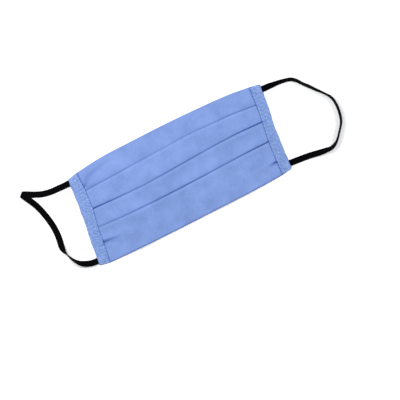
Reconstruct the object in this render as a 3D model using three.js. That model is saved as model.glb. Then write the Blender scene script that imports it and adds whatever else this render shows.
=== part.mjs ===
// A pleated cloth face mask that lies flat on a table with its front up.
// Millimetres. X runs along the mask, Y towards its top edge, and Z up from the table.
// The origin is on the table under the middle of the cloth.

import * as THREE from 'three';

// Cloth and its pleats
const CLOTH = 1.0;                    // thickness of the two-ply cloth
const GAP = 0.3;                      // air between folded layers and between neighbouring pieces
const PLEAT_DEPTH = 14;               // how far the cloth runs on under each pleat before it turns back
const HEM_PRESS = 0.6;                // share of the pleats' height that is left where the hems hold them
const PRESS_LENGTH = 22;              // the pleats flatten over this length beside a hem
const CORNER_DIP = 1.6;               // how far the hems draw in the top and bottom edges at the corners
const DIP_LENGTH = 9;                 // length over which the edges are drawn in

// The soft dent in the top panel beside the left hem: a crease with the cloth puffed up on both sides of it
const DENT = { fromX: -82.5, fromY: 27.5, toX: -60, toY: 36.5, puff: 1.2, width: 4, reach: 16 };

// Side hems
const HEM_THICKNESS = 2.1;            // the hem where it covers a single layer
const HEM_EDGE = 1.8;                 // its height along the outer edge, where the elastic comes out
const PLEAT_RIDGE = 1.0;              // how far a pleat's end raises the hem

// Flat elastic
const ELASTIC_WIDTH = 5.2;
const ELASTIC_THICKNESS = 1.0;
const ELASTIC_CHAMFER = 0.3;

// Divisions of the faceted surfaces
const LENGTH_STEPS = 22;
const TURN_STEPS = 4;
const RUN_STEPS = 4;
const EDGE_PANEL_STEPS = 6;
const HEM_LENGTH_STEPS = 26;
const HEM_WIDTH_STEPS = 4;
const STEPS_PER_ROW = 2;              // straight stretches of elastic between two rows of its route

// The creases as seen from above. Each row is one line along the mask between the two hems: the x of its ends,
// and its y at the left end, at each quarter of its length and at the right end.
const CREASES = {
  top:    { leftX: -82.1, rightX: 90.1, y: [41.6, 44.0, 44.7, 43.6, 41.8] },
  fold1:  { leftX: -82.4, rightX: 88.9, y: [23.7, 25.4, 27.1, 27.1, 24.3] },
  fold2:  { leftX: -83.6, rightX: 87.1, y: [6.1, 4.8, 6.4, 8.5, 8.0] },
  fold3:  { leftX: -86.6, rightX: 84.1, y: [-11.1, -12.5, -12.4, -11.0, -10.4] },
  bottom: { leftX: -91.1, rightX: 82.2, y: [-43.2, -44.6, -44.3, -43.8, -42.0] },
};

// Each hem's outer edge and inner edge, at its top end and its bottom end.
const HEMS = {
  side_hem_left: {
    outerTop: [-92.6, 38.5], outerBottom: [-100.1, -42.3], inner: 'leftX', pleatEnd: 0,
  },
  side_hem_right: {
    outerTop: [100.1, 38.6], outerBottom: [92.6, -40.8], inner: 'rightX', pleatEnd: 1,
  },
};

// The elastic's route: the point on its centreline, the plan direction of its width in degrees, how far the width
// is tipped up on edge in degrees, and how high its lowest edge is above the table.
const LOOP_COLUMNS = ['x', 'y', 'turn', 'tip', 'lift'];
const LEFT_LOOP = [
  [-93.4, 35.6, 95, 0, 0.4],
  [-98.5, 35.4, 92, 0, 0.2],
  [-104.0, 35.6, 88, 0, 0],
  [-111.4, 36.2, 82, 0, 0],
  [-119.0, 38.0, 73, 0, 0],
  [-126.6, 41.2, 64, 0, 0],
  [-131.6, 43.8, 57, 0, 0],
  [-135.0, 45.6, 41.5, 0, 0],
  [-135.6, 45.9, 41.5, 0, 0.65],
  [-135.4, 45.2, 41.5, 0, 1.3],
  [-133.0, 40.8, 28, 0, 1.3],
  [-131.0, 37.0, 25, 0, 1.3],
  [-129.1, 33.2, 21, 0, 0.7],
  [-126.6, 25.6, 17, 0, 0],
  [-125.0, 19.6, 14, 0, 0],
  [-124.0, 14.2, 11, 0, 0],
  [-123.1, 8.1, 5, 0, 0],
  [-122.9, 2.7, 0, 0, 0],
  [-123.1, -2.6, -4, 0, 0],
  [-123.8, -8.0, -8, 0, 0],
  [-124.5, -12.2, -4, 8, 0],
  [-124.1, -15.8, 8, 42, 0],
  [-122.9, -19.4, 18, 80, 0],
  [-120.9, -25.4, 26, 92, 0],
  [-118.2, -30.6, 38, 114, 0],
  [-115.6, -33.4, 50, 140, 0],
  [-111.9, -35.7, 66, 168, 0],
  [-107.0, -37.6, 76, 180, 0.1],
  [-103.6, -38.2, 86, 180, 0.2],
  [-100.4, -38.3, 95, 180, 0.4],
];
const RIGHT_LOOP = [
  [100.3, 34.2, 95, 0, 0.4],
  [104.5, 34.0, 92, 12, 0.15],
  [109.0, 33.8, 90, 30, 0],
  [114.4, 33.4, 85, 46, 0],
  [121.0, 32.6, 79, 57, 0],
  [127.3, 31.0, 64, 62, 0],
  [131.2, 27.3, 47, 66, 0],
  [134.5, 22.8, 40, 72, 0],
  [138.8, 18.5, 41, 68, 0],
  [143.6, 12.6, 39, 76, 0],
  [148.7, 5.9, 34, 84, 0],
  [152.7, -0.3, 18, 76, 0],
  [153.8, -8.3, 0, 76, 0],
  [153.0, -16.4, -10, 78, 0],
  [150.6, -23.7, -26, 82, 0],
  [145.2, -30.7, -40, 85, 0],
  [139.3, -37.0, -50, 78, 0],
  [133.6, -39.9, -70, 64, 0],
  [126.2, -39.5, -92, 54, 0],
  [119.5, -39.0, -94, 46, 0],
  [112.5, -38.5, -94, 34, 0],
  [105.5, -37.7, -96, 16, 0],
  [99.1, -37.0, -96, 4, 0.15],
  [93.4, -36.5, -95, 0, 0.4],
];

const material = (name, colour, roughness) =>
  new THREE.MeshStandardMaterial({ name, color: colour, roughness, metalness: 0 });

const MATERIALS = {
  cloth: material('cotton poplin', '#869fe2', 0.9),
  hem: material('sewn cotton hem', '#8fabe6', 0.9),
  elastic: material('flat elastic', '#121214', 0.75),
};

const { clamp, lerp, smoothstep, degToRad } = THREE.MathUtils;

// A crease as a curve along the mask. Its x runs evenly from one hem to the other.
function creaseCurve({ leftX, rightX, y }) {
  const last = y.length - 1;
  return new THREE.SplineCurve(y.map((value, i) => new THREE.Vector2(lerp(leftX, rightX, i / last), value)));
}

const CURVES = Object.fromEntries(Object.entries(CREASES).map(([name, row]) => [name, creaseCurve(row)]));

// How close a place is to either hem: 1 at the hem, falling smoothly to 0 at the given distance from it.
function nearHem(along, reach) {
  const length = CREASES.fold2.rightX - CREASES.fold2.leftX;
  const distance = Math.min(along, 1 - along) * length;
  return 1 - smoothstep(distance, 0, reach);
}

// The plan points of the five creases at one place along the mask, with the edges drawn in beside the hems.
function creasePoints(along) {
  const points = Object.fromEntries(Object.entries(CURVES).map(([name, curve]) => [name, curve.getPoint(along)]));
  const dip = CORNER_DIP * nearHem(along, DIP_LENGTH);
  points.top.y -= dip;
  points.bottom.y += dip;
  return points;
}

// The x that belongs to a y on the slanted section through the five crease points.
function sectionX(points, y) {
  const rows = Object.values(points);
  let i = 0;
  while (i < rows.length - 2 && y < rows[i + 1].y) i += 1;
  const share = (y - rows[i].y) / (rows[i + 1].y - rows[i].y);
  return lerp(rows[i].x, rows[i + 1].x, share);
}

// Points on a straight run of cloth, without its last point.
function run(from, to, steps) {
  return Array.from({ length: steps }, (_, i) => from.clone().lerp(to, i / steps));
}

// Points on a half turn of cloth from the lower layer up to the upper one, without its last point.
// side is 1 for a visible fold, which faces the top edge, and -1 for the hidden fold under it.
function turn(centre, radius, side) {
  return Array.from({ length: TURN_STEPS }, (_, i) => {
    const angle = Math.PI * (i / TURN_STEPS - 0.5);
    return new THREE.Vector2(centre.x + side * radius * Math.cos(angle), centre.y + radius * Math.sin(angle));
  });
}

// The middle of the cloth in a section across the mask, as (y, z) points from the top edge to the bottom edge.
function pleatedPath(points) {
  const radius = (CLOTH + GAP) / 2;
  const floor = CLOTH / 2;
  const overHidden = floor + 4 * radius;
  const folds = [points.fold1.y, points.fold2.y, points.fold3.y];
  const path = [];
  let start = new THREE.Vector2(points.top.y - CLOTH / 2, floor);
  let knee = null;
  folds.forEach((foldY) => {
    const hiddenY = foldY - PLEAT_DEPTH;
    const low = new THREE.Vector2(hiddenY + radius, floor);
    if (knee) {
      path.push(...run(start, knee, RUN_STEPS));
      path.push(...run(knee, low, RUN_STEPS));
    } else {
      path.push(...run(start, low, EDGE_PANEL_STEPS));
    }
    const from = knee ?? start;
    const visibleY = foldY - CLOTH / 2 - radius;
    const underFold = lerp(from.y, low.y, (from.x - visibleY) / (from.x - low.x));
    const visible = new THREE.Vector2(visibleY, underFold + 3 * radius);
    path.push(...turn(new THREE.Vector2(low.x, floor + radius), radius, -1));
    path.push(...run(new THREE.Vector2(low.x, floor + 2 * radius), visible.clone().setY(visible.y - radius), RUN_STEPS));
    path.push(...turn(visible, radius, 1));
    start = visible.clone().setY(visible.y + radius);
    knee = new THREE.Vector2(hiddenY + radius, overHidden);
  });
  const end = new THREE.Vector2(points.bottom.y + CLOTH / 2, floor);
  path.push(...run(start, knee, RUN_STEPS));
  path.push(...run(knee, end, EDGE_PANEL_STEPS));
  path.push(end);
  return path;
}

// The direction across the cloth at one point of the section path.
function acrossCloth(path, i) {
  const before = path[Math.max(i - 1, 0)];
  const after = path[Math.min(i + 1, path.length - 1)];
  const along = before.clone().sub(after).normalize();
  return new THREE.Vector2(-along.y, along.x);
}

// How far the top panel puffs up beside its dent. It stays down where the first fold lies on it.
function puffHeight(x, y, foldY) {
  const from = new THREE.Vector2(DENT.fromX, DENT.fromY);
  const along = new THREE.Vector2(DENT.toX, DENT.toY).sub(from);
  const offset = new THREE.Vector2(x, y).sub(from);
  const share = clamp(offset.dot(along) / along.lengthSq(), 0, 1);
  const distance = offset.addScaledVector(along, -share).length();
  const beside = smoothstep(distance, 0, DENT.width) * (1 - smoothstep(distance, DENT.width, DENT.reach));
  return DENT.puff * beside * smoothstep(y, foldY, foldY + DENT.width);
}

// Folds a flat slab of cloth into the pleats.
function bodyGeometry() {
  const pathSteps = pleatedPath(creasePoints(0)).length - 1;
  const slab = new THREE.BoxGeometry(1, 1, 1, LENGTH_STEPS, pathSteps, 1);
  const position = slab.attributes.position;
  for (let i = 0; i < position.count; i += 1) {
    const along = position.getX(i) + 0.5;
    const points = creasePoints(along);
    const path = pleatedPath(points);
    const station = Math.round((0.5 - position.getY(i)) * pathSteps);
    const place = path[station].clone().addScaledVector(acrossCloth(path, station), position.getZ(i) * CLOTH);
    const press = lerp(1, HEM_PRESS, nearHem(along, PRESS_LENGTH));
    const inset = (GAP / 2) * (1 - 2 * along);
    const x = sectionX(points, place.x) + inset;
    position.setXYZ(i, x, place.x, place.y * press + puffHeight(x, place.x, points.fold1.y));
  }
  return slab;
}

// How far the pleat ends raise the hem at a y: highest just under each visible fold, and fading down to its
// hidden fold.
function pleatRidge(points, y) {
  const heights = [points.fold1.y, points.fold2.y, points.fold3.y].map((foldY) => {
    const rise = 1 - smoothstep(y, foldY - 1, foldY + 1);
    return rise * smoothstep(y, foldY - PLEAT_DEPTH - 2, foldY);
  });
  return PLEAT_RIDGE * Math.max(...heights);
}

// A hem is a strip between its outer edge and the pleat ends, flat below and ridged above.
function hemGeometry({ outerTop, outerBottom, inner, pleatEnd }) {
  const slab = new THREE.BoxGeometry(1, 1, 1, HEM_WIDTH_STEPS, HEM_LENGTH_STEPS, 1);
  const points = creasePoints(pleatEnd);
  const outwards = inner === 'leftX' ? -1 : 1;
  const position = slab.attributes.position;
  for (let i = 0; i < position.count; i += 1) {
    const down = 0.5 - position.getY(i);
    const outward = 0.5 + outwards * position.getX(i);
    const innerY = lerp(points.top.y - GAP, points.bottom.y + GAP, down);
    const innerX = sectionX(points, innerY) + (outwards * GAP) / 2;
    const x = lerp(innerX, lerp(outerTop[0], outerBottom[0], down), outward);
    const y = lerp(innerY, lerp(outerTop[1], outerBottom[1], down), outward);
    const crown = HEM_THICKNESS + pleatRidge(points, y);
    const height = lerp(crown, HEM_EDGE, smoothstep(outward, 0.5, 1));
    position.setXYZ(i, x, y, position.getZ(i) > 0 ? height : 0);
  }
  return slab;
}

// The elastic's section: a flat rectangle with its corners taken off.
function elasticSection() {
  const halfWidth = ELASTIC_WIDTH / 2;
  const halfThickness = ELASTIC_THICKNESS / 2;
  const flat = halfWidth - ELASTIC_CHAMFER;
  const side = halfThickness - ELASTIC_CHAMFER;
  const corners = [
    [flat, -halfThickness], [halfWidth, -side], [halfWidth, side], [flat, halfThickness],
    [-flat, halfThickness], [-halfWidth, side], [-halfWidth, -side], [-flat, -halfThickness],
  ];
  return new THREE.Shape(corners.map(([x, y]) => new THREE.Vector2(x, y)));
}

// The route as two curves: x, y and lift along it, and the plan direction and tip of the elastic's width.
function loopCurves(table) {
  const rows = table.map((row) => Object.fromEntries(LOOP_COLUMNS.map((name, i) => [name, row[i]])));
  return {
    path: new THREE.CatmullRomCurve3(rows.map(({ x, y, lift }) => new THREE.Vector3(x, y, lift))),
    angle: new THREE.CatmullRomCurve3(rows.map(({ turn: plan, tip }) => new THREE.Vector3(plan, tip, 0))),
  };
}

// The middle of the elastic and the direction of its width at a share of its route. Its lowest edge is at the
// lift that the route gives, so the more it is tipped up, the higher its middle is.
function elasticAt({ path, angle }, along) {
  const { x: plan, y: tip } = angle.getPoint(along);
  const [planAngle, tipAngle] = [degToRad(plan), degToRad(tip)];
  const [flat, upright] = [Math.abs(Math.cos(tipAngle)), Math.abs(Math.sin(tipAngle))];
  const middle = path.getPoint(along);
  middle.z = Math.max(middle.z, 0) + (ELASTIC_WIDTH * upright + ELASTIC_THICKNESS * flat) / 2;
  const width = new THREE.Vector3(
    Math.cos(planAngle) * Math.cos(tipAngle), Math.sin(planAngle) * Math.cos(tipAngle), Math.sin(tipAngle),
  );
  return { middle, width };
}

// Bends a straight band along its route, turning its width as the route's table says.
function loopGeometry(table) {
  const curves = loopCurves(table);
  const steps = (table.length - 1) * STEPS_PER_ROW;
  const reach = 0.5 / steps;
  const band = new THREE.ExtrudeGeometry(elasticSection(), { depth: 1, steps, bevelEnabled: false });
  const position = band.attributes.position;
  for (let i = 0; i < position.count; i += 1) {
    const along = position.getZ(i);
    const { middle, width } = elasticAt(curves, along);
    const before = elasticAt(curves, Math.max(along - reach, 0)).middle;
    const after = elasticAt(curves, Math.min(along + reach, 1)).middle;
    const across = after.sub(before).cross(width).normalize();
    middle.addScaledVector(width, position.getX(i)).addScaledVector(across, position.getY(i));
    position.setXYZ(i, middle.x, middle.y, middle.z);
  }
  return band;
}

function piece(name, geometry, finish) {
  const mesh = new THREE.Mesh(geometry, finish);
  mesh.name = name;
  return mesh;
}

const mask = new THREE.Group();
mask.add(piece('mask_body', bodyGeometry(), MATERIALS.cloth));
Object.entries(HEMS).forEach(([name, row]) => mask.add(piece(name, hemGeometry(row), MATERIALS.hem)));
mask.add(piece('ear_loop_left', loopGeometry(LEFT_LOOP), MATERIALS.elastic));
mask.add(piece('ear_loop_right', loopGeometry(RIGHT_LOOP), MATERIALS.elastic));

export default mask;
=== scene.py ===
"""A pleated cotton face mask lying flat, front up: folded cloth, sewn side hems and black elastic loops."""
import math

import bmesh
import bpy
import numpy as np
from mathutils import Matrix, Vector


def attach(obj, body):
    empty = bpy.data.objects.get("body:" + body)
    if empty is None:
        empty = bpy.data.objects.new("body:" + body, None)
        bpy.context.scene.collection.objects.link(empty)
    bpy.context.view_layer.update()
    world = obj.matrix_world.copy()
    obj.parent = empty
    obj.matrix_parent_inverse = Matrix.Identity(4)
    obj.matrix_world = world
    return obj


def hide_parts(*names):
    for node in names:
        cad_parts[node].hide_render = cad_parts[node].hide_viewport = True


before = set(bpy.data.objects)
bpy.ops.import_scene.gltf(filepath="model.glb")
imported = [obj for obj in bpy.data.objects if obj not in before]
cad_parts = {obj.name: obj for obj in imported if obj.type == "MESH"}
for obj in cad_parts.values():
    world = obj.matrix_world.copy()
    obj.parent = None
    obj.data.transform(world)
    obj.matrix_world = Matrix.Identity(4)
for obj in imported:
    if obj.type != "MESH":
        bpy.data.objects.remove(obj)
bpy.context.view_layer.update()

# Every size in the tables and constants is in millimetres, and MM turns it into metres.
MM = 0.001

# ---------------------------------------------------------------- driving sizes
# Camera: straight above the table, turned so that the mask lies aslant.
VIEW_CENTRE = (5.92, -30.21)
VIEW_WIDTH = 360.0
VIEW_TURN = -26.43
VIEW_HEIGHT = 1400.0
SENSOR = 36.0

# Two-ply cloth and its knife pleats
CLOTH = 0.62
LAYER_GAP = 0.1
PLY_PITCH = CLOTH + LAYER_GAP
EDGE_BLUNT = 0.07             # half the thickness that is left at the very edge of the rounded rim
PANEL_STEP = 0.75             # size of the mesh's divisions where the cloth shows
HIDDEN_STEPS = 6
TURN_STEPS = 9
ALONG_STEPS = 186
BODY_LENGTH = 172.0
UNDER_HEM = 3.0               # how far the cloth runs on under each hem
CUT_LENGTH = BODY_LENGTH + 2 * UNDER_HEM
UNDER_DRAW = 0.012            # under a hem the cloth is drawn in by this share for each millimetre
UNDER_PRESS = 0.11            # and pressed thinner by this share for each millimetre
HEM_PRESS = 0.72              # share of the pleats' height that is left at the hems
PRESS_LENGTH = 20.0

# The creases as seen from above, each a row of (x, y) points from the left hem to the right hem.
CREASES = {
    "top": [(-82.1, 41.2), (-60.0, 43.7), (-30.0, 44.6), (10.0, 45.0), (45.0, 44.4), (70.0, 43.3),
            (90.1, 41.1)],
    "fold_1": [(-82.4, 23.0), (-56.0, 24.0), (-29.6, 25.1), (-2.6, 26.1), (24.4, 27.1), (46.9, 26.4),
               (69.4, 25.5), (82.9, 24.2), (88.9, 23.6)],
    "fold_2": [(-83.6, 5.4), (-56.6, 4.4), (-34.1, 4.1), (-11.6, 5.0), (6.4, 5.9), (24.4, 6.9),
               (42.4, 7.7), (60.4, 8.1), (87.1, 7.4)],
    "fold_3": [(-86.6, -11.7), (-56.6, -13.0), (-34.1, -13.3), (-7.1, -13.1), (24.4, -12.3),
               (42.4, -11.7), (60.4, -11.2), (84.1, -11.0)],
    "bottom": [(-91.1, -44.8), (-50.0, -45.3), (10.0, -44.9), (55.0, -44.3), (82.2, -43.2)],
}

# One row for each pleat: how far it runs in under the panel above it, how far its edge stands open, how long the
# panel over it takes to come down again, and how strong the painted shade is in its crease. Each is given at the
# left hem, the quarters and the right hem.
PLEAT_COLUMNS = ("depth", "opening", "step_down", "crease")
PLEATS = [
    ([14.0, 14.0, 14.0, 14.0, 14.0], [0.20, 0.15, 0.05, 0.15, 0.20], [9.0, 16.0, 16.0, 16.0, 9.0],
     [0.54, 0.38, 0.20, 0.42, 0.66]),
    ([14.0, 14.0, 14.0, 14.0, 14.0], [0.25, 0.25, 0.20, 0.25, 0.25], [9.0, 16.0, 16.0, 16.0, 9.0],
     [1.55, 0.54, 0.78, 0.68, 1.50]),
    ([13.0, 15.5, 17.5, 19.0, 18.6], [0.20, 0.25, 0.25, 0.25, 0.25], [2.2, 13.0, 14.0, 13.0, 2.8],
     [0.47, 0.62, 1.00, 0.68, 1.42]),
]
CREASE_SHADE_WIDTH = 0.95           # how far the painted shade of a crease reaches
OPENING_LENGTH = 10.0         # over this length a pleat's return layer opens towards the fold
LAST_FOLD_SHADE = 1.3             # painted shade where the lowest panel steps down over the lowest hidden fold beside the hems
LAST_CREASE_LENGTHS = (21.0, 12.0)    # how far it shows from the left and from the right hem
BOTTOM_SHADE = 0.7           # painted shade along the bottom edge
# painted shade on the rounded rim of the bottom edge
RIM_SHADE = 1.0
EDGE_HIGHLIGHT = 0.16              # strength of the painted highlight, a paler band just below a folded edge
EDGE_HIGHLIGHT_AT = 1.0
SEAM_SHADE = 0.3              # painted shade where the cloth goes under a hem
SEAM_SHADE_WIDTH = 0.45
HOVER = 0.5                   # the bottom edge stands this far off the table away from the hems
HOVER_LENGTH = 12.0

# The dent in the top panel beside the left hem: a groove that starts at the hem and curves up and to the right,
# with the cloth puffed up on both sides of it.
DENT = [(-82.6, 26.8), (-79.2, 29.3), (-76.0, 32.2), (-72.0, 34.0), (-66.0, 35.5), (-58.0, 36.6),
        (-52.0, 36.9)]
DENT_DEPTH = 0.55
DENT_WIDTH = 1.3
DENT_SHADE = 0.22             # its soft shadow, painted
DENT_SHADE_WIDTH = 1.9
DENT_SPOT = 0.5               # painted shade, a darker spot where it meets the hem
DENT_SPOT_WIDTH = 0.9
DENT_PUFF = 0.6
DENT_REACH = 13.0

# Soft unevenness of the lying cloth: wave length, height and seed
RIPPLES = [(46.0, 0.30, 3), (19.0, 0.13, 8), (8.0, 0.04, 5)]

# Each hem: its inner edge runs along the ends of the creases, and its outer edge from one corner to the other.
HEMS = {
    "side_hem_left": {"end": 0, "outer": [
        (-92.5, 39.0), (-93.8, 20.0), (-95.8, 0.0), (-98.6, -20.0), (-101.1, -42.8)]},
    "side_hem_right": {"end": 1, "outer": [
        (100.5, 39.2), (98.6, 20.0), (95.6, 0.0), (94.0, -20.0), (92.7, -41.4)]},
}

HEM_CUT = 12.0                # its width before it is sewn down
HEM_LEAF = 0.32               # thickness of one leaf of the folded hem
HEM_PLATEAU = 1.35            # its height away from the pleats
RIDGE_FADE = 6.5              # the pleats' ends show through the hem over this width
HEM_EDGE_ROUND = 0.9
HEM_END_ROUND = 0.7
HEM_CORNER = 1.3
STITCH_PITCH = 3.0
STITCH_ROWS = (1.0, 4.9)      # distances of the two rows of stitches from the hem's inner edge
# The tacking over the elastic's ends: columns as (distance from the inner edge, length), and cross rows
TACK_COLUMNS = [(2.6, 6.0), (6.1, 10.0), (7.4, 8.6), (8.7, 9.6)]
TACK_ROWS = (1.3, 5.4, 9.2)
TACK_PITCH = 1.7
GATHER_AT = 14.0              # the short cross folds lie about this far from the top end
FOLD_END_SHADE = (0.15, 0.4)    # how strong the painted shade is over the pleats' ends under the left and the right hem
GROOVE_DEPTH = 0.24
GROOVE_WIDTH = 0.6
PUCKER_HEIGHT = 0.13
HEM_MESH = 0.36               # size of the mesh's divisions on the hems

# The elastic's route: the point on its centreline, the plan direction of its width in degrees, how far the
# width is tipped up on edge in degrees, and how high its lowest edge is above the table.
ELASTIC_WIDTH = 5.7
ELASTIC_THICKNESS = 1.05
LEFT_LOOP = [
    (-93.4, 35.6, 95, 0, 0.4), (-98.5, 35.6, 92, 0, 0.2), (-104.0, 35.8, 88, 0, 0), (-111.4, 36.2, 82, 0, 0),
    (-119.0, 37.8, 73, 0, 0), (-126.6, 41.1, 64, 0, 0), (-131.6, 43.8, 57, 0, 0), (-135.0, 45.6, 41.5, 0, 0),
    (-135.6, 45.9, 41.5, 0, 0.75), (-135.4, 45.2, 41.5, 0, 1.5), (-133.1, 40.7, 28, 0, 1.5),
    (-131.1, 36.9, 25, 0, 1.5), (-129.2, 33.1, 21, 0, 0.8), (-126.5, 25.6, 17, 0, 0), (-124.9, 19.6, 14, 0, 0),
    (-123.8, 14.2, 11, 0, 0), (-122.9, 8.1, 5, 0, 0), (-122.7, 2.7, 0, 0, 0), (-122.8, -2.6, -4, 0, 0),
    (-123.5, -8.0, -8, 0, 0), (-124.2, -12.2, -4, 8, 0), (-124.1, -15.8, 8, 38, 0), (-123.3, -19.5, 18, 74, 0),
    (-121.1, -25.5, 26, 98, 0), (-118.1, -30.5, 38, 116, 0), (-115.5, -33.3, 50, 138, 0),
    (-111.9, -35.7, 66, 157, 0), (-107.0, -37.6, 76, 164, 0.1), (-103.6, -38.2, 86, 175, 0.2),
    (-100.4, -38.3, 95, 180, 0.4),
]
RIGHT_LOOP = [
    (100.3, 34.2, 95, 0, 0.4), (104.5, 34.0, 92, 12, 0.15), (109.0, 33.7, 90, 30, 0), (114.4, 33.2, 85, 46, 0),
    (121.0, 32.2, 79, 58, 0), (127.1, 30.6, 64, 63, 0), (131.2, 27.3, 47, 67, 0), (134.5, 22.8, 40, 72, 0),
    (138.5, 18.2, 41, 69, 0), (143.2, 12.3, 39, 76, 0), (148.6, 5.8, 34, 84, 0), (152.6, -0.3, 18, 78, 0),
    (153.7, -8.3, 0, 78, 0), (152.9, -16.4, -10, 78, 0), (150.7, -23.7, -26, 80, 0), (145.4, -30.9, -40, 85, 0),
    (139.6, -37.3, -50, 78, 0), (133.8, -40.6, -70, 58, 0), (126.2, -40.5, -92, 30, 0),
    (119.5, -39.6, -94, 12, 0), (112.5, -38.4, -94, 2, 0), (105.5, -37.6, -96, 0, 0),
    (99.1, -37.0, -96, 0, 0.15), (93.4, -36.5, -95, 0, 0.4),
]
LOOP_STEPS = 9                # stations between two rows of a route
RIBS = 7                      # lengthwise ribs of the braid
RIB_STEPS = 6
INTO_HEM = 4.0                # how far the elastic runs on inside the hem


# ---------------------------------------------------------------- small helpers
def smoothstep(value):
    """0 below 0, 1 above 1, and a soft S between."""
    t = np.clip(value, 0.0, 1.0)
    return t * t * (3 - 2 * t)


def hermite(knots, rows, at):
    """The smooth curve through the rows, which stand at the knots, at the places at."""
    slopes = np.gradient(rows, knots, axis=0)
    i = np.clip(np.searchsorted(knots, at, side="right") - 1, 0, len(knots) - 2)
    width = knots[i + 1] - knots[i]
    t = (at - knots[i]) / width
    columns = (slice(None), None)
    t, width = (t[columns], width[columns]) if rows.ndim > 1 else (t, width)
    start = (2 * t**3 - 3 * t**2 + 1) * rows[i] + (t**3 - 2 * t**2 + t) * width * slopes[i]
    return start + (3 * t**2 - 2 * t**3) * rows[i + 1] + (t**3 - t**2) * width * slopes[i + 1]


def ripples(x, y, wave_length, seed, waves=9):
    """A soft random unevenness between about -1 and 1."""
    draw = np.random.default_rng(seed)
    total = np.zeros_like(x)
    for _ in range(waves):
        heading, phase = draw.uniform(0, 2 * math.pi, 2)
        turns = 2 * math.pi / (wave_length * draw.uniform(0.7, 1.5))
        total += np.sin((x * math.cos(heading) + y * math.sin(heading)) * turns + phase)
    return total / math.sqrt(waves)


def distance_to_line(x, y, points):
    """How far each place is from a broken line, and its share of the way along it."""
    best = np.full_like(x, 1e9)
    share = np.zeros_like(x)
    for i, ((ax, ay), (bx, by)) in enumerate(zip(points, points[1:])):
        dx, dy = bx - ax, by - ay
        t = np.clip(((x - ax) * dx + (y - ay) * dy) / (dx * dx + dy * dy), 0, 1)
        far = np.hypot(x - ax - t * dx, y - ay - t * dy)
        share = np.where(far < best, (i + t) / (len(points) - 1), share)
        best = np.minimum(best, far)
    return best, share


# ---------------------------------------------------------------- making pieces
def slab(columns, rows):
    """A flat block from -0.5 to 0.5 each way, whose two wide faces are cut into columns and rows."""
    block = bmesh.new()
    bmesh.ops.create_grid(block, x_segments=columns, y_segments=rows, size=0.5)
    bmesh.ops.solidify(block, geom=block.faces[:], thickness=1.0)
    middle = sum(v.co.z for v in block.verts) / len(block.verts)
    bmesh.ops.translate(block, vec=(0, 0, -middle), verts=block.verts)
    return block


def finish_piece(name, block, place, cut, material, shade=None):
    """Bends a slab into a piece. place(u, v, side) says where its points go, u and v running from 0 to 1 and
    side being -0.5 or 0.5. The UV map holds the flat cut in metres. shade(u, v, side) is stored at each point:
    above 0 it is painted shade that darkens the colour, and below 0 a painted highlight that makes it paler."""
    map_of_cut = block.loops.layers.uv.new("cut")
    for face in block.faces:
        face.smooth = True
        for loop in face.loops:
            corner = loop.vert.co
            loop[map_of_cut].uv = ((corner.x + 0.5) * cut[0] * MM, (0.5 - corner.y) * cut[1] * MM)
    flat = np.array([v.co for v in block.verts])
    placed = place(flat[:, 0] + 0.5, 0.5 - flat[:, 1], flat[:, 2]) * MM
    for vertex, point in zip(block.verts, placed):
        vertex.co = point
    bmesh.ops.recalc_face_normals(block, faces=block.faces)
    mesh = bpy.data.meshes.new(name)
    block.to_mesh(mesh)
    block.free()
    if shade is not None:
        stored = mesh.attributes.new("shade", "FLOAT", "POINT")
        depth = shade(flat[:, 0] + 0.5, 0.5 - flat[:, 1], flat[:, 2])
        stored.data.foreach_set("value", depth.astype(np.float32))
    return link_piece(name, mesh, material)


def link_piece(name, mesh, material):
    piece = bpy.data.objects.new(name, mesh)
    mesh.materials.append(material)
    bpy.context.scene.collection.objects.link(piece)
    return piece


# ---------------------------------------------------------------- materials
def linear(code):
    """An sRGB hex colour as linear red, green, blue and alpha."""
    parts = [int(code[i:i + 2], 16) / 255 for i in (1, 3, 5)]
    return [c / 12.92 if c <= 0.04045 else ((c + 0.055) / 1.055) ** 2.4 for c in parts] + [1.0]


def add(tree, kind, settings=None, inputs=None):
    """Adds a node with its settings. An input is a value, or the output that feeds it."""
    made = tree.nodes.new(kind)
    for name, value in (settings or {}).items():
        setattr(made, name, value)
    for name, value in (inputs or {}).items():
        if isinstance(value, bpy.types.NodeSocket):
            tree.links.new(value, made.inputs[name])
        else:
            made.inputs[name].default_value = value
    return made


def new_material(name):
    """A material with only its output and shader, and its node tree."""
    material = bpy.data.materials.new(name)
    material.use_nodes = True
    return material, material.node_tree, material.node_tree.nodes["Principled BSDF"]


def band_scale(pitch):
    """The Wave Texture scale whose bands are that many millimetres apart."""
    return 2 * math.pi / 20 / (pitch * MM)


def grain_scale(size):
    """The Noise Texture scale whose blots are about that many millimetres wide."""
    return 1 / (size * MM)


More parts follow.
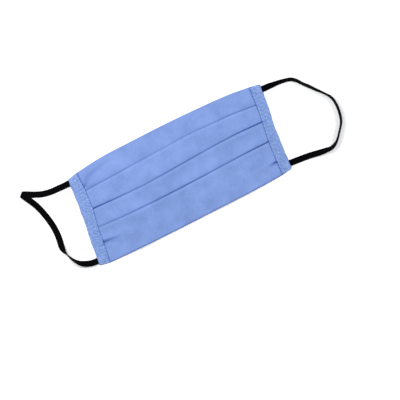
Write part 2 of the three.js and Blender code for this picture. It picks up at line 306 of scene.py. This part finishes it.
def woven_cotton(name, face, painted_shade, pale, thread_pitch, mottle, blot):
    """Piece-dyed cotton poplin, plain woven: matt, with a soft fuzz that lightens steep slopes. The real threads
    are 0.25 mm apart, and are drawn coarser so that they show."""
    material, tree, shader = new_material(name)
    cut = add(tree, "ShaderNodeUVMap", {"uv_map": "cut"}).outputs["UV"]
    place = add(tree, "ShaderNodeTexCoord").outputs["Object"]
    warp = add(tree, "ShaderNodeTexWave", {"bands_direction": "X"},
               {"Vector": cut, "Scale": band_scale(thread_pitch), "Distortion": 0.6, "Detail Scale": 0.3})
    weft = add(tree, "ShaderNodeTexWave", {"bands_direction": "Y"},
               {"Vector": cut, "Scale": band_scale(thread_pitch), "Distortion": 0.6, "Detail Scale": 0.3})
    not_weft = add(tree, "ShaderNodeMath", {"operation": "SUBTRACT"}, {0: 1.0, 1: weft.outputs["Fac"]})
    weave = add(tree, "ShaderNodeMix", {"data_type": "FLOAT"},
                {"Factor": warp.outputs["Fac"], "A": not_weft.outputs[0], "B": weft.outputs["Fac"]})
    blots = add(tree, "ShaderNodeTexNoise", None,
                {"Vector": place, "Scale": grain_scale(blot), "Detail": 5.0, "Roughness": 0.68})
    clear = add(tree, "ShaderNodeMapRange", None,
                {"Value": blots.outputs["Fac"], "From Min": 0.32, "From Max": 0.68})
    slubs = add(tree, "ShaderNodeTexNoise", None, {"Vector": cut, "Scale": grain_scale(2.2), "Detail": 3.0})
    dye = add(tree, "ShaderNodeMix", {"data_type": "RGBA"},
              {"Factor": clear.outputs[0], "A": linear(mottle[0]), "B": linear(mottle[1])})
    dyed = add(tree, "ShaderNodeMix", {"data_type": "RGBA", "blend_type": "MULTIPLY"},
               {"Factor": 1.0, "A": linear(face), "B": dye.outputs["Result"]})
    thread_light = add(tree, "ShaderNodeMapRange", None,
                       {"Value": weave.outputs["Result"], "To Min": 0.94, "To Max": 1.04})
    slub_light = add(tree, "ShaderNodeMapRange", None,
                     {"Value": slubs.outputs["Fac"], "To Min": 0.93, "To Max": 1.07})
    light = add(tree, "ShaderNodeMath", {"operation": "MULTIPLY"},
                {0: thread_light.outputs[0], 1: slub_light.outputs[0]})
    threads = add(tree, "ShaderNodeMix", {"data_type": "RGBA", "blend_type": "MULTIPLY"},
                  {"Factor": 1.0, "A": dyed.outputs["Result"], "B": light.outputs[0]})
    # The stored shade mixes in the darker colour as painted shade where it is above 0, and the paler colour as a
    # painted highlight where it is below 0.
    shade = add(tree, "ShaderNodeAttribute", {"attribute_name": "shade"})
    with_painted_shade = add(tree, "ShaderNodeMix", {"data_type": "RGBA"},
                  {"Factor": shade.outputs["Fac"], "A": threads.outputs["Result"], "B": linear(painted_shade)})
    highlight_share = add(tree, "ShaderNodeMath", {"operation": "MULTIPLY", "use_clamp": True},
                 {0: shade.outputs["Fac"], 1: -1.0})
    painted_highlight = add(tree, "ShaderNodeMix", {"data_type": "RGBA"},
               {"Factor": highlight_share.outputs[0], "A": with_painted_shade.outputs["Result"], "B": linear(pale)})
    fine = add(tree, "ShaderNodeBump", None,
               {"Height": weave.outputs["Result"], "Strength": 0.35, "Distance": 0.08 * MM})
    bump = add(tree, "ShaderNodeBump", None,
               {"Height": slubs.outputs["Fac"], "Strength": 0.4, "Distance": 0.12 * MM,
                "Normal": fine.outputs[0]})
    tree.links.new(painted_highlight.outputs["Result"], shader.inputs["Base Color"])
    tree.links.new(bump.outputs["Normal"], shader.inputs["Normal"])
    shader.inputs["Roughness"].default_value = 0.88
    shader.inputs["Specular IOR Level"].default_value = 0.25
    shader.inputs["Sheen Weight"].default_value = 0.12
    shader.inputs["Sheen Roughness"].default_value = 0.6
    return material


def braided_elastic():
    """Black polyester braid over rubber: near black and almost without shine, so that its ribs and the fine knit
    across them only just show."""
    material, tree, shader = new_material("black braided elastic")
    cut = add(tree, "ShaderNodeUVMap", {"uv_map": "cut"}).outputs["UV"]
    knit = add(tree, "ShaderNodeTexWave", {"bands_direction": "DIAGONAL"},
               {"Vector": cut, "Scale": band_scale(0.8), "Distortion": 1.5, "Detail Scale": 0.6})
    ribs = add(tree, "ShaderNodeTexWave", {"bands_direction": "X"},
               {"Vector": cut, "Scale": band_scale(ELASTIC_WIDTH / RIBS), "Phase Offset": math.pi})
    rough = add(tree, "ShaderNodeTexNoise", None, {"Vector": cut, "Scale": grain_scale(3.0), "Detail": 3.0})
    tone = add(tree, "ShaderNodeMix", {"data_type": "FLOAT"},
               {"Factor": 0.35, "A": ribs.outputs["Fac"], "B": knit.outputs["Fac"]})
    colour = add(tree, "ShaderNodeMix", {"data_type": "RGBA"},
                 {"Factor": tone.outputs["Result"], "A": linear("#010102"), "B": linear("#050506")})
    roughness = add(tree, "ShaderNodeMapRange", None,
                    {"Value": rough.outputs["Fac"], "To Min": 0.5, "To Max": 0.72})
    bump = add(tree, "ShaderNodeBump", None,
               {"Height": knit.outputs["Fac"], "Strength": 0.5, "Distance": 0.1 * MM})
    tree.links.new(colour.outputs["Result"], shader.inputs["Base Color"])
    tree.links.new(roughness.outputs[0], shader.inputs["Roughness"])
    tree.links.new(bump.outputs["Normal"], shader.inputs["Normal"])
    shader.inputs["Specular IOR Level"].default_value = 0.02
    return material


def sewing_thread():
    """Spun polyester thread: a little paler than the cloth, with a faint shine and a twist across it."""
    material, tree, shader = new_material("pale blue sewing thread")
    place = add(tree, "ShaderNodeTexCoord").outputs["Object"]
    twist = add(tree, "ShaderNodeTexWave", {"bands_direction": "DIAGONAL"},
                {"Vector": place, "Scale": band_scale(0.4)})
    patches = add(tree, "ShaderNodeTexNoise", None, {"Vector": place, "Scale": grain_scale(4.0), "Detail": 2.0})
    tone = add(tree, "ShaderNodeMix", {"data_type": "FLOAT"},
               {"Factor": 0.4, "A": patches.outputs["Fac"], "B": twist.outputs["Fac"]})
    colour = add(tree, "ShaderNodeMix", {"data_type": "RGBA"},
                 {"Factor": tone.outputs["Result"], "A": linear("#8099cc"), "B": linear("#b4c8ec")})
    bump = add(tree, "ShaderNodeBump", None,
               {"Height": twist.outputs["Fac"], "Strength": 0.4, "Distance": 0.05 * MM})
    tree.links.new(colour.outputs["Result"], shader.inputs["Base Color"])
    tree.links.new(bump.outputs["Normal"], shader.inputs["Normal"])
    shader.inputs["Roughness"].default_value = 0.55
    return material


def painted_table():
    """White satin paint: even, with the faintest clouding."""
    material, tree, shader = new_material("white table")
    place = add(tree, "ShaderNodeTexCoord").outputs["Object"]
    clouds = add(tree, "ShaderNodeTexNoise", None, {"Vector": place, "Scale": 3.0, "Detail": 2.0})
    colour = add(tree, "ShaderNodeMix", {"data_type": "RGBA"},
                 {"Factor": clouds.outputs["Fac"], "A": linear("#f3f3f4"), "B": linear("#f6f6f6")})
    tree.links.new(colour.outputs["Result"], shader.inputs["Base Color"])
    shader.inputs["Roughness"].default_value = 0.7
    shader.inputs["Specular IOR Level"].default_value = 0.1
    return material


# ---------------------------------------------------------------- camera, table and light
def make_stage():
    data = bpy.data.cameras.new("camera")
    data.sensor_width = SENSOR
    data.lens = SENSOR * VIEW_HEIGHT / VIEW_WIDTH
    camera = bpy.data.objects.new("camera", data)
    camera.location = (VIEW_CENTRE[0] * MM, VIEW_CENTRE[1] * MM, VIEW_HEIGHT * MM)
    camera.rotation_euler = (0, 0, math.radians(VIEW_TURN))
    bpy.context.scene.collection.objects.link(camera)
    bpy.context.scene.camera = camera

    floor = bmesh.new()
    bmesh.ops.create_grid(floor, x_segments=1, y_segments=1, size=3.0)
    bmesh.ops.translate(floor, vec=(0, 0, -0.1 * MM), verts=floor.verts)
    mesh = bpy.data.meshes.new("table")
    floor.to_mesh(mesh)
    floor.free()
    link_piece("table", mesh, painted_table())

    world = bpy.data.worlds.new("studio")
    world.use_nodes = True
    world.node_tree.nodes["Background"].inputs["Color"].default_value = linear("#f4f6fa")
    world.node_tree.nodes["Background"].inputs["Strength"].default_value = 0.66
    bpy.context.scene.world = world
    bpy.context.scene.view_settings.view_transform = "Standard"
    soft_box("key", (-0.22, 0.40, 0.50), 0.45, 4.6)
    soft_box("side", (1.25, -0.15, 1.15), 0.16, 14.0)


def soft_box(name, place, size, power):
    """A square soft light that looks at the mask."""
    data = bpy.data.lights.new(name, "AREA")
    data.size = size
    data.energy = power
    light = bpy.data.objects.new(name, data)
    light.location = place
    light.rotation_euler = (-Vector(place)).to_track_quat("-Z", "Y").to_euler()
    bpy.context.scene.collection.objects.link(light)


# ---------------------------------------------------------------- elastic ear loops
def loop_stations(route):
    """The middle of the elastic and the direction of its width at each station. Both ends are inside the hem."""
    rows = np.array(route, float)
    into = [2 * rows[0] - rows[1], 2 * rows[-1] - rows[-2]]
    for row, near in zip(into, (rows[0], rows[-1])):
        row[:2] = near[:2] + (row[:2] - near[:2]) / np.linalg.norm(row[:2] - near[:2]) * INTO_HEM
        row[2:] = near[2:]
    rows = np.vstack([into[0], rows, into[1]])
    gaps = np.linalg.norm(np.diff(rows[:, [0, 1, 4]], axis=0), axis=1)
    knots = np.concatenate([[0], np.cumsum(np.sqrt(gaps))])
    at = np.interp(np.arange((len(rows) - 1) * LOOP_STEPS + 1) / LOOP_STEPS, np.arange(len(rows)), knots)
    x, y, turn, tip, lift = hermite(knots, rows, at).T
    turn, tip = np.radians(turn), np.radians(tip)
    half = (ELASTIC_WIDTH * np.abs(np.sin(tip)) + ELASTIC_THICKNESS * np.abs(np.cos(tip))) / 2
    middle = np.stack([x, y, np.maximum(lift, 0) + half], axis=1)
    width = np.stack([np.cos(turn) * np.cos(tip), np.sin(turn) * np.cos(tip), np.sin(tip)], axis=1)
    return middle, width


def make_loop(name, node, route, material):
    """A flat braid bent along its route, with rounded edges and lengthwise ribs."""
    middle, width = loop_stations(route)
    ahead = np.gradient(middle, axis=0)
    across = np.cross(ahead, width)
    across /= np.linalg.norm(across, axis=1)[:, None]
    last = len(middle) - 1

    def place(u, v, side):
        station = np.rint(v * last).astype(int)
        edge = np.minimum(u, 1 - u) * ELASTIC_WIDTH / (ELASTIC_THICKNESS / 2)
        rounding = np.sqrt(1 - (1 - np.clip(edge, 0.06, 1)) ** 2)
        rib = 1 - 0.24 * np.cos(math.pi * RIBS * u) ** 6
        thickness = side * ELASTIC_THICKNESS * rounding * rib
        return middle[station] + width[station] * ((u - 0.5) * ELASTIC_WIDTH)[:, None] + \
            across[station] * thickness[:, None]

    long = float(np.linalg.norm(np.diff(middle, axis=0), axis=1).sum())
    loop = finish_piece(name, slab(RIBS * RIB_STEPS, last), place, (ELASTIC_WIDTH, long), material)
    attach(loop, "root")
    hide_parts(node)
    return loop


# ---------------------------------------------------------------- the pleated cloth
def crease_places(along):
    """The x and y of the five creases at shares of the way from the left hem to the right hem."""
    found = []
    for points in CREASES.values():
        x, y = np.array(points, float).T
        at = x[0] + (x[-1] - x[0]) * along
        found.append((at, hermite(x, y, np.clip(at, x[0], x[-1]))))
    xs, ys = zip(*found)
    return np.stack(xs, axis=-1), np.stack(ys, axis=-1)


def at_quarters(values, along):
    """A table's values at the left hem, the quarters and the right hem, read smoothly between them."""
    return hermite(np.linspace(0, 1, len(values)), np.array(values, float), np.clip(along, 0, 1))


class Pleating:
    """The folded cloth: the path of its middle in sections across the mask, one for each share along it."""

    def __init__(self, along):
        self.along = along
        self.crease_x, self.crease_y = crease_places(along)
        self.top, self.bottom = self.crease_y[:, [0]], self.crease_y[:, [4]]
        self.folds = [self.crease_y[:, [k]] for k in (1, 2, 3)]
        self.rows = [dict(zip(PLEAT_COLUMNS, (at_quarters(column, along)[:, None] for column in row)))
                     for row in PLEATS]
        from_hem = np.minimum(along, 1 - along) * BODY_LENGTH
        self.away_from_hems = smoothstep(from_hem / HOVER_LENGTH)[:, None]
        self.hidden = [fold - row["depth"] for fold, row in zip(self.folds, self.rows)]
        self.path()

    def panel(self, k, y):
        """The height of the middle of panel k, the first being the one along the top edge."""
        low = CLOTH / 2
        if k == 0:
            return np.full_like(y, low)
        low = low + (k == 3) * HOVER * self.away_from_hems
        high = self.back(k - 1, np.maximum(y, self.hidden[k - 1])) + PLY_PITCH
        return low + (high - low) * (1 - smoothstep((self.hidden[k - 1] - y) / self.rows[k - 1]["step_down"]))

    def back(self, k, y):
        """The height of the middle of the layer that runs back up from hidden fold k to visible fold k."""
        opened = smoothstep((y - self.folds[k] + OPENING_LENGTH) / OPENING_LENGTH) * self.rows[k]["opening"]
        return self.panel(k, y) + PLY_PITCH + opened

    def path(self):
        """Works out the y and z of the path, a row for each section."""
        ys, zs = [], []
        radius = PLY_PITCH / 2
        darks = []

        def share(steps):
            """Even shares of the way."""
            return np.arange(steps)[None, :] / steps

        def closer(steps):
            """Shares of the way that lie closer together at both ends."""
            even = share(steps)
            return even - 0.8 * np.sin(2 * math.pi * even) / (2 * math.pi)

        rim = np.array([[0, 0.06, 0.2, 0.45, 0.75]]) * CLOTH / 2

        def run(start, end, steps, height, dark):
            y = start + (end - start) * closer(steps)
            ys.append(y)
            zs.append(height(y))
            darks.append(dark(y))

        def turn(middle_y, middle_z, reach, side, dark):
            angle = math.pi * (share(TURN_STEPS) - 0.5)
            ys.append(middle_y + side * reach * np.cos(angle))
            zs.append(middle_z + reach * np.sin(angle) + np.zeros_like(ys[-1]))
            darks.append(dark * (1 - smoothstep((share(TURN_STEPS) - 0.5) / 0.5)))

        def painted_highlight(y):
            """A painted highlight: the cloth is drawn a little paler just below a folded edge."""
            return EDGE_HIGHLIGHT * np.exp(-(((start - y - EDGE_HIGHLIGHT_AT) / 0.7) ** 2)) * (start < self.top - 5)

        # Painted shade around a crease line, strongest on the line.
        def near(y, crease, strength):
            return strength * np.exp(-((np.abs(y - crease) / CREASE_SHADE_WIDTH) ** 2))

        ys.append(self.top - rim)
        zs.append(self.panel(0, self.top - rim))
        darks.append(np.zeros_like(ys[-1]))
        start = self.top - CLOTH / 2
        for k, fold in enumerate(self.folds):
            shown = int(round(float((start - fold).mean()) / PANEL_STEP))
            # The pleat's painted shade in its crease, also given in full to its hidden layers and turns.
            painted_shade = self.rows[k]["crease"]
            run(start, fold, shown, lambda y: self.panel(k, y), lambda y: near(y, fold, painted_shade) - painted_highlight(y))
            low = self.hidden[k] + radius
            run(fold, low, HIDDEN_STEPS, lambda y: self.panel(k, y), lambda y: painted_shade + 0 * y)
            turn(low, CLOTH / 2 + radius, radius, -1, painted_shade)
            reach = (PLY_PITCH + np.zeros_like(fold)) / 2
            lip = fold - CLOTH / 2 - reach
            run(low, lip, HIDDEN_STEPS, lambda y: self.back(k, y), lambda y: painted_shade + 0 * y)
            turn(lip, self.back(k, lip) + reach, reach, 1, painted_shade)
            start = lip
        shown = int(round(float((start - self.bottom).mean()) / PANEL_STEP))
        # Painted shade where the lowest panel steps down beside the hems and along the bottom edge, and on the
        # bottom rim.
        from_hem = (np.minimum(self.along, 1 - self.along) * BODY_LENGTH)[:, None]
        length = np.where(self.along < 0.5, *LAST_CREASE_LENGTHS)[:, None]
        beside_hem = LAST_FOLD_SHADE * np.clip(1 - from_hem / length, 0, 1) ** 1.6
        run(start, self.bottom + CLOTH / 2, shown, lambda y: self.panel(3, y),
            lambda y: near(y, self.hidden[2] - 0.3, beside_hem) + near(y, self.bottom, BOTTOM_SHADE)
            - painted_highlight(y))
        ys.append(self.bottom + rim[:, ::-1])
        zs.append(self.panel(3, self.bottom + rim[:, ::-1]))
        darks.append(RIM_SHADE + np.zeros_like(ys[-1]))
        self.y, self.z, self.dark = np.hstack(ys), np.hstack(zs), np.hstack(darks)


def press(along):
    """How much of the pleats' height is left at a share of the way along the mask."""
    from_hem = np.minimum(along, 1 - along) * BODY_LENGTH
    return HEM_PRESS + (1 - HEM_PRESS) * smoothstep(from_hem / PRESS_LENGTH)


def section_x(pleating, station, y):
    """The x that belongs to a y on the slanted section through the five creases."""
    xs, ys = pleating.crease_x[station], pleating.crease_y[station]
    i = np.sum(y[:, None] < ys[:, 1:4], axis=1)
    pick = np.arange(len(y))
    share = (y - ys[pick, i]) / (ys[pick, i + 1] - ys[pick, i])
    return xs[pick, i] + (xs[pick, i + 1] - xs[pick, i]) * share


def lie(x, y, along, first_fold):
    """How far the lying cloth is raised from the table at a place, by its soft unevenness and the dent."""
    calm = smoothstep(np.minimum(along, 1 - along) * BODY_LENGTH / 12.0)
    raised = sum(height * (1 + ripples(x, y, length, seed)) for length, height, seed in RIPPLES) * calm
    far, share = distance_to_line(x, y, DENT)
    fade = 1 - smoothstep((share - 0.35) / 0.65)
    above = smoothstep((y - first_fold - 0.5) / 3.0)
    puffed = DENT_PUFF * smoothstep(far / 4.0) * (1 - smoothstep((far - 4.0) / DENT_REACH))
    groove = DENT_DEPTH * np.exp(-((far / DENT_WIDTH) ** 2))
    beside = (1 - smoothstep((x + 55) / 14)) * smoothstep(along * BODY_LENGTH / 4.0)
    return np.maximum(raised + above * (0.4 + 0.6 * fade) * (puffed - groove) * beside, 0)


def make_body(material):
    """The two-ply cloth as a slab that is folded along the section paths."""
    ends = UNDER_HEM / BODY_LENGTH
    along = np.linspace(-ends, 1 + ends, ALONG_STEPS + 1)
    pleating = Pleating(along)
    last = pleating.y.shape[1] - 1
    ty, tz = np.gradient(pleating.y, axis=1), np.gradient(pleating.z, axis=1)
    size = np.hypot(ty, tz)
    out_y, out_z = tz / size, -ty / size
    mid_y, mid_z = pleating.y[ALONG_STEPS // 2], pleating.z[ALONG_STEPS // 2]
    run = np.concatenate([[0], np.cumsum(np.hypot(np.diff(mid_y), np.diff(mid_z)))])
    from_rim = np.minimum(run, run[-1] - run) / (CLOTH / 2)
    blunt = EDGE_BLUNT / (CLOTH / 2)
    rounding = np.maximum(np.sqrt(1 - (1 - np.clip(from_rim, 0, 1)) ** 2), blunt)

    def place(u, v, side):
        station = np.rint(u * ALONG_STEPS).astype(int)
        step = np.rint(v * last).astype(int)
        half = side * CLOTH * rounding[step]
        y = pleating.y[station, step] + out_y[station, step] * half
        z = pleating.z[station, step] + out_z[station, step] * half
        x = section_x(pleating, station, y)
        share = along[station]
        under = np.maximum(np.maximum(-share, share - 1), 0) * BODY_LENGTH
        z = z * press(share) * (1 - UNDER_PRESS * under) + lie(x, y, share, pleating.folds[0][station, 0])
        y = y * (1 - UNDER_DRAW * under)
        return np.stack([x, y, z], axis=1)

    def shade(u, v, side):
        """Painted shade in the creases, along the dent, where the cloth goes under the hems and along the bottom
        edge, with a painted highlight just below each folded edge.
        """
        station = np.rint(u * ALONG_STEPS).astype(int)
        step = np.rint(v * last).astype(int)
        from_hem = np.minimum(along, 1 - along)[station] * BODY_LENGTH
        x, y, z = place(u, v, side).T
        far, share = distance_to_line(x, y, DENT)
        groove = DENT_SHADE * np.exp(-((far / DENT_SHADE_WIDTH) ** 2)) * (1 - smoothstep((share - 0.5) / 0.5))
        groove = groove + DENT_SPOT * np.exp(-((far / DENT_SPOT_WIDTH) ** 2)) * (1 - smoothstep(share / 0.25))
        groove = groove * (y > pleating.folds[0][station, 0])
        return groove + pleating.dark[station, step] + \
            SEAM_SHADE * np.exp(-((np.maximum(from_hem, 0) / SEAM_SHADE_WIDTH) ** 2))

    cut = slab(ALONG_STEPS, last)
    body = finish_piece("pleated_cloth", cut, place, (CUT_LENGTH, float(run[-1])), material, shade)
    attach(body, "root")
    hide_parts("mask_body")
    return body, pleating, float(run[-1])


# ---------------------------------------------------------------- side hems
def upper_face(pleating, station):
    """How high the folded cloth's upper face is along one section, as heights at even steps of y."""
    fine = np.linspace(0, pleating.y.shape[1] - 1, 6000)
    steps = np.arange(pleating.y.shape[1])
    y = np.interp(fine, steps, pleating.y[station])
    z = (np.interp(fine, steps, pleating.z[station]) + CLOTH / 2) * press(pleating.along[station])
    places = np.arange(-48.0, 48.0, 0.25)
    top = np.zeros_like(places)
    np.maximum.at(top, np.clip(np.rint((y - places[0]) / 0.25).astype(int), 0, len(places) - 1), z)
    top = np.max([np.roll(top, shift) for shift in range(-3, 4)], axis=0)
    kernel = np.exp(-np.linspace(-2, 2, 9) ** 2)
    return places, np.convolve(top, kernel / kernel.sum(), mode="same")


class Hem:
    """A folded strip of cloth that is sewn over the pleats' ends."""

    def __init__(self, row, pleating, exits):
        self.pleating = pleating
        self.end = row["end"]
        self.station = int(np.abs(pleating.along - self.end).argmin())
        self.inner_top = pleating.top[self.station, 0]
        self.inner_bottom = pleating.bottom[self.station, 0]
        self.outer = np.array(row["outer"][::-1])
        self.length = self.inner_top - self.inner_bottom
        self.places, self.cloth_top = upper_face(pleating, self.station)
        self.exits = exits

    def plan(self, u, v):
        """x, y, the strip's width there and the distance from its inner edge and from its nearer end."""
        inner_y = self.inner_top + (self.inner_bottom - self.inner_top) * v
        inner_x = section_x(self.pleating, np.full(len(v), self.station), inner_y)
        outer_y = self.outer[-1, 1] + (self.outer[0, 1] - self.outer[-1, 1]) * v
        outer_x = hermite(self.outer[:, 1], self.outer[:, 0], outer_y)
        outer_x = outer_x + 0.12 * ripples(v * self.length, v * 0, 9.0, 21 + self.end)
        width = np.hypot(outer_x - inner_x, outer_y - inner_y)
        # the outer corners are rounded
        p = np.clip(1 - (1 - u) * width / HEM_CORNER, 0, 1)
        to_end = np.minimum(v, 1 - v) * self.length
        q = np.clip(1 - to_end / HEM_CORNER, 0, 1)
        round_u = u - (p - p * np.sqrt(1 - q * q / 2)) * HEM_CORNER / width
        drawn = (q - q * np.sqrt(1 - p * p / 2)) * HEM_CORNER * np.where(v < 0.5, -1, 1)
        x = inner_x + (outer_x - inner_x) * round_u
        y = inner_y + (outer_y - inner_y) * round_u + drawn
        return x, y, width, u * width, to_end

    def gathers(self, v):
        """The hem is drawn into a few short cross folds just past the top tacking."""
        along = v * self.length
        return np.exp(-(((along - GATHER_AT) / 3.2) ** 2)) * np.cos(2 * math.pi * along / STITCH_PITCH)

    def top(self, u, v):
        """The height of the upper leaf, before its edges are rounded."""
        x, y, width, inward, to_end = self.plan(u, v)
        s = v * self.length
        under = np.interp(y, self.places, self.cloth_top)
        over_pleats = under + HEM_LEAF + 0.3
        height = over_pleats + (HEM_PLATEAU - over_pleats) * smoothstep(inward / RIDGE_FADE)
        along_stitch = 2 * math.pi * s / STITCH_PITCH + 1.1 * ripples(x, y, 11.0, 61 + self.end)
        liveliness = 1 + 0.6 * ripples(x, y, 14.0, 31 + self.end)
        for row in STITCH_ROWS:
            near = np.exp(-(((inward - row) / GROOVE_WIDTH) ** 2))
            height = height - near * (GROOVE_DEPTH + 0.12 * np.cos(along_stitch))
            around = np.exp(-(((inward - row) / 2.2) ** 2))
            slant = (inward - row) * 1.1
            height = height - around * PUCKER_HEIGHT * liveliness * np.cos(along_stitch + slant)
        outward = width - inward
        for exit_y in self.exits:
            band = smoothstep((3.4 - np.abs(y - exit_y)) / 1.2) * smoothstep((9.5 - outward) / 2.0)
            height = height + 0.4 * band
        height = height - 0.16 * self.gathers(v)
        height = height + 0.05 * ripples(x, y, 3.4, 41 + self.end) + 0.03 * ripples(x, y, 1.9, 51 + self.end)
        return np.maximum(height, 0.6)

    def place(self, u, v, side):
        """The strip's surface: the upper leaf, and the lower one flat on the table."""
        x, y, width, inward, to_end = self.plan(u, v)
        top = self.top(u, v)
        outward = width - inward
        rounding = np.sqrt(1 - (1 - np.clip(outward / HEM_EDGE_ROUND, 0.02, 1)) ** 2)
        rounding = rounding * np.sqrt(1 - (1 - np.clip(to_end / HEM_END_ROUND, 0.03, 1)) ** 2)
        lip = 1 - 0.28 * (1 - np.clip(inward / 0.5, 0, 1)) ** 2
        middle = 0.45 * top
        z = np.where(side > 0, middle + (top * lip - middle) * rounding, middle * (1 - rounding))
        return np.stack([x, y, z], axis=1)

    def shade(self, u, v, side):
        """Painted shade at the seam, in the needle holes, over the pleats' ends, between the tacking columns and
        in the gathers' folds, with painted highlights between those folds, and a random mottle of the cloth's
        own tone.
        """
        x, y, width, inward, to_end = self.plan(u, v)
        along_stitch = 2 * math.pi * v * self.length / STITCH_PITCH
        needle = (0.5 + 0.5 * np.cos(along_stitch)) ** 2
        painted_shade = (0.75 + 0.3 * np.cos(along_stitch)) * np.exp(-((inward / 0.36) ** 2))
        for row in STITCH_ROWS:
            painted_shade += 0.3 * needle * np.exp(-(((inward - row) / 0.45) ** 2))
        for k, row in enumerate(self.pleating.rows):
            fold = self.pleating.folds[k][self.station, 0]
            strength = FOLD_END_SHADE[self.end] * min(row["crease"][self.station, 0], 1.0)
            painted_shade += strength * np.exp(-(((y - fold) / 0.8) ** 2)) * (1 - smoothstep(inward / 6.0))
        tacked = 1 - smoothstep((to_end - 9.0) / 2.0)
        painted_shade += 0.2 * tacked * (0.5 + 0.5 * np.cos(2 * math.pi * (inward - 3.4) / 2.7)) ** 2
        painted_shade += 0.16 * self.gathers(v)
        mottle = 0.10 * ripples(x, y * 1.5, 4.2, 71 + self.end) + 0.07 * ripples(x, y, 2.2, 81 + self.end)
        return painted_shade + mottle

    def upper_points(self, u, v):
        """Points on the upper leaf."""
        return self.place(np.asarray(u, float), np.asarray(v, float), np.ones(len(u)))


def make_hem(name, node, hem, material):
    block = slab(int(HEM_CUT / HEM_MESH), int(hem.length / HEM_MESH))
    piece = finish_piece(name, block, hem.place, (HEM_CUT, hem.length), material, hem.shade)
    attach(piece, "root")
    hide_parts(node)
    return piece


# ---------------------------------------------------------------- stitches
def add_stitch(shape, start, end, thickness, sink):
    """One stitch between two points on the cloth: a thread that rises out of it and dives back in."""
    start, end = Vector(start), Vector(end)
    ahead = (end - start).normalized()
    across = Vector((0, 0, 1)).cross(ahead).normalized()
    up = ahead.cross(across)
    half = (end - start).length / 2
    turned = Matrix((ahead * half, across * thickness / 2, up * thickness * 0.42)).transposed().to_4x4()
    turned.translation = (start + end) / 2 + up * (thickness * 0.42 - sink)
    bmesh.ops.create_uvsphere(shape, u_segments=7, v_segments=5, radius=1.0,
                              matrix=turned @ Matrix.Rotation(math.pi / 2, 4, "Y"))


def make_stitches(name, hem, material):
    """Two rows of lockstitch along the hem, and a box of tacking over each end of the elastic."""
    draw = np.random.default_rng(60 + hem.end)
    shape = bmesh.new()

    def sew(places, thickness, length_share):
        """Sews through places given as (distance from the inner edge, distance along the hem)."""
        for (a_in, a_along), (b_in, b_along) in zip(places, places[1:]):
            gap = (1 - length_share) / 2
            jitter = draw.uniform(-0.12, 0.12, 2)
            inward = [a_in + (b_in - a_in) * gap + jitter[0], a_in + (b_in - a_in) * (1 - gap) + jitter[1]]
            along = [a_along + (b_along - a_along) * gap, a_along + (b_along - a_along) * (1 - gap)]
            v = np.clip(np.array(along) / hem.length, 0.01, 0.99)
            width = hem.plan(np.zeros(2), v)[2]
            start, end = hem.upper_points(np.array(inward) / width, v)
            add_stitch(shape, start * MM, end * MM, thickness * MM, 0.10 * MM)

    count = int(hem.length / STITCH_PITCH)
    for row in STITCH_ROWS:
        sew([(row, (k + 0.25) * STITCH_PITCH) for k in range(count)], 0.42, 0.78)
    for at_top in (True, False):
        for inward, reach in TACK_COLUMNS:
            count = int(reach / TACK_PITCH)
            column = [(inward + 0.25 * (-1) ** k, 1.0 + (k + draw.uniform(-0.15, 0.15)) * TACK_PITCH)
                      for k in range(count)]
            sew(column if at_top else [(a, hem.length - b) for a, b in column], 0.55, 0.72)
        for along in TACK_ROWS:
            row = [(inward, along if at_top else hem.length - along)
                   for inward in np.arange(3.2, 9.6, TACK_PITCH)]
            sew(row, 0.5, 0.75)
    bmesh.ops.recalc_face_normals(shape, faces=shape.faces)
    for face in shape.faces:
        face.smooth = True
    mesh = bpy.data.meshes.new(name)
    shape.to_mesh(mesh)
    shape.free()
    piece = link_piece(name, mesh, material)
    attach(piece, "root")
    return piece


# ---------------------------------------------------------------- build
make_stage()
elastic = braided_elastic()
make_loop("left_ear_elastic", "ear_loop_left", LEFT_LOOP, elastic)
make_loop("right_ear_elastic", "ear_loop_right", RIGHT_LOOP, elastic)

# For each cloth the third colour is its painted shade and the fourth its painted highlight.
cotton = woven_cotton("dyed cotton poplin", "#7189bf", "#1b3f86", "#90a9e0", 0.7,
                      ("#e0e4e9", "#ffffff"), 20.0)
hem_cotton = woven_cotton("dyed cotton poplin hem", "#7089bb", "#1b3f86", "#92abe0", 0.7,
                          ("#e0e5ec", "#ffffff"), 3.0)
thread = sewing_thread()
body, pleating, cut_length = make_body(cotton)
for side, route in (("left", LEFT_LOOP), ("right", RIGHT_LOOP)):
    node = f"side_hem_{side}"
    hem = Hem(HEMS[node], pleating, [route[0][1], route[-1][1]])
    make_hem(f"{side}_folded_hem", node, hem, hem_cotton)
    make_stitches(f"{side}_hem_stitches", hem, thread)
